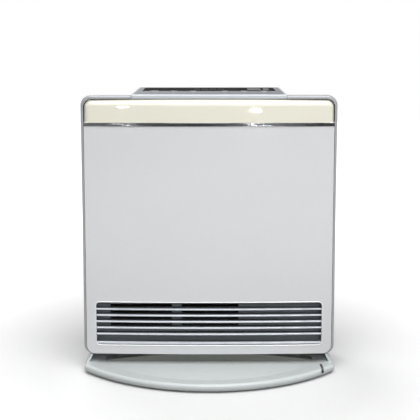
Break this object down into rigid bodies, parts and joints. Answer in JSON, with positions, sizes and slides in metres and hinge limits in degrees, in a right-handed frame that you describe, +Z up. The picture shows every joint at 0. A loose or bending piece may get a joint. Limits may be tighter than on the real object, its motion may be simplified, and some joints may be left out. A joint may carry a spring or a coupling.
{
  "type": "gas fan heater",
  "caption": "Free-standing gas fan heater with a bowed front, a slatted warm air outlet at its foot, a raised control panel on top and a wide dished base.",
  "frame": {"origin": "on the floor under the middle of the whole heater, gas hose end included", "axes": "+Z up, the outlet faces -Y, +X to the right seen from the front"},
  "size_m": [0.39, 0.218, 0.4388],
  "materials": {
    "case_paint": "fine metallic silver paint, satin",
    "panel_paint": "pale silver paint, satin",
    "cap_cream": "cream moulding, glossy",
    "strip_chrome": "bright plated",
    "slat_silver": "silver paint, satin",
    "outlet_dark": "heat resisting dark grey paint",
    "housing_silver": "silver painted moulding",
    "film_grey": "grey printed film, fine matt",
    "window_smoke": "smoked acrylic, glossy",
    "key_grey": "grey moulded keys",
    "foot_plastic": "pale grey-green moulding",
    "neck_plastic": "darker grey-green moulding",
    "black_rubber": "matt",
    "cover_paint": "grey paint, satin",
    "rail_plastic": "grey moulding",
    "filter_net": "fine woven net",
    "inlet_brass": "turned",
    "screw_zinc": "zinc plated",
    "zinc_sheet": "zinc coated sheet",
    "fan_black": "black paint",
    "shaft_steel": "ground",
    "bush_bronze": "sintered",
    "motor_steel": "grey paint",
    "heat_steel": "heat tinted sheet",
    "burner_steel": "pressed stainless",
    "probe_ceramic": "white",
    "valve_aluminium": "die cast",
    "coil_black": "black moulding",
    "plunger_steel": "turned",
    "board_green": "circuit board",
    "parts_dark": "moulded",
    "lead_grey": "insulated",
    "core_iron": "laminated, varnished"
  },
  "bodies": {
    "heater": {"outer_case": "case_paint", "front_panel": "panel_paint", "top_cap": "cap_cream", "chrome_strip": "strip_chrome", "outlet_slat_1": "slat_silver", "outlet_slat_2": "slat_silver", "outlet_slat_3": "slat_silver", "outlet_slat_4": "slat_silver", "outlet_slat_5": "slat_silver", "outlet_ledge": "slat_silver", "outlet_frame": "outlet_dark", "outlet_guard": "outlet_dark", "control_housing": "housing_silver", "control_film": "film_grey", "display_window": "window_smoke", "base_tray": "foot_plastic", "base_neck": "neck_plastic", "rubber_feet": "black_rubber", "cord_gland": "black_rubber", "rear_cover": "cover_paint", "filter_rails": "rail_plastic", "gas_inlet": "inlet_brass", "gas_manifold": "inlet_brass", "case_screws": "screw_zinc", "mid_shelf": "zinc_sheet", "fan_duct": "zinc_sheet", "side_wall": "zinc_sheet", "fan_bush": "bush_bronze", "fan_motor": "motor_steel", "burner_chamber": "heat_steel", "heat_shield": "heat_steel", "burner": "burner_steel", "burner_probes": "probe_ceramic", "gas_valve_block": "valve_aluminium", "gas_pipe": "valve_aluminium", "valve_coils": "coil_black", "overheat_switch": "coil_black", "tilt_switch": "coil_black", "room_thermistor": "coil_black", "spark_transformer": "coil_black", "board_case": "coil_black", "display_board": "board_green", "control_board": "board_green", "display_components": "parts_dark", "wire_harness": "lead_grey", "mains_transformer": "core_iron"},
    "fan": {"fan_rotor": "fan_black", "fan_shaft": "shaft_steel"},
    "left_filter": {"filter_frame_left": "rail_plastic", "filter_mesh_left": "filter_net"},
    "right_filter": {"filter_frame_right": "rail_plastic", "filter_mesh_right": "filter_net"},
    "safety_plunger": {"safety_valve_plunger": "plunger_steel"},
    "main_plunger": {"main_valve_plunger": "plunger_steel"},
    "power_key": {"power_button": "key_grey"},
    "child_lock_key": {"child_lock_button": "key_grey"},
    "timer_on_key": {"timer_on_button": "key_grey"},
    "timer_off_key": {"timer_off_button": "key_grey"},
    "temperature_down_key": {"temperature_down_button": "key_grey"},
    "temperature_up_key": {"temperature_up_button": "key_grey"}
  },
  "joints": [
    {"name": "fan_spin", "type": "hinge", "parent": "heater", "child": "fan", "pos_m": [0, 0.043, 0.074], "axis": [1, 0, 0], "continuous": true},
    {"name": "left_filter_lift", "type": "slide", "parent": "heater", "child": "left_filter", "axis": [0, 0, 1], "range_m": [0, 0.2]},
    {"name": "right_filter_lift", "type": "slide", "parent": "heater", "child": "right_filter", "axis": [0, 0, 1], "range_m": [0, 0.2]},
    {"name": "safety_valve_lift", "type": "slide", "parent": "heater", "child": "safety_plunger", "axis": [0, 0, 1], "range_m": [0, 0.002], "stiffness_N_per_m": 300, "springref_m": -0.002},
    {"name": "main_valve_lift", "type": "slide", "parent": "heater", "child": "main_plunger", "axis": [0, 0, 1], "range_m": [0, 0.002], "stiffness_N_per_m": 300, "springref_m": -0.002},
    {"name": "power_key_press", "type": "slide", "parent": "heater", "child": "power_key", "axis": [0, 0, -1], "range_m": [0, 0.001], "stiffness_N_per_m": 400, "springref_m": -0.001},
    {"name": "child_lock_key_press", "type": "slide", "parent": "heater", "child": "child_lock_key", "axis": [0, 0, -1], "range_m": [0, 0.001], "stiffness_N_per_m": 400, "springref_m": -0.001},
    {"name": "timer_on_key_press", "type": "slide", "parent": "heater", "child": "timer_on_key", "axis": [0, 0, -1], "range_m": [0, 0.001], "stiffness_N_per_m": 400, "springref_m": -0.001},
    {"name": "timer_off_key_press", "type": "slide", "parent": "heater", "child": "timer_off_key", "axis": [0, 0, -1], "range_m": [0, 0.001], "stiffness_N_per_m": 400, "springref_m": -0.001},
    {"name": "temperature_down_key_press", "type": "slide", "parent": "heater", "child": "temperature_down_key", "axis": [0, 0, -1], "range_m": [0, 0.001], "stiffness_N_per_m": 400, "springref_m": -0.001},
    {"name": "temperature_up_key_press", "type": "slide", "parent": "heater", "child": "temperature_up_key", "axis": [0, 0, -1], "range_m": [0, 0.001], "stiffness_N_per_m": 400, "springref_m": -0.001}
  ]
}
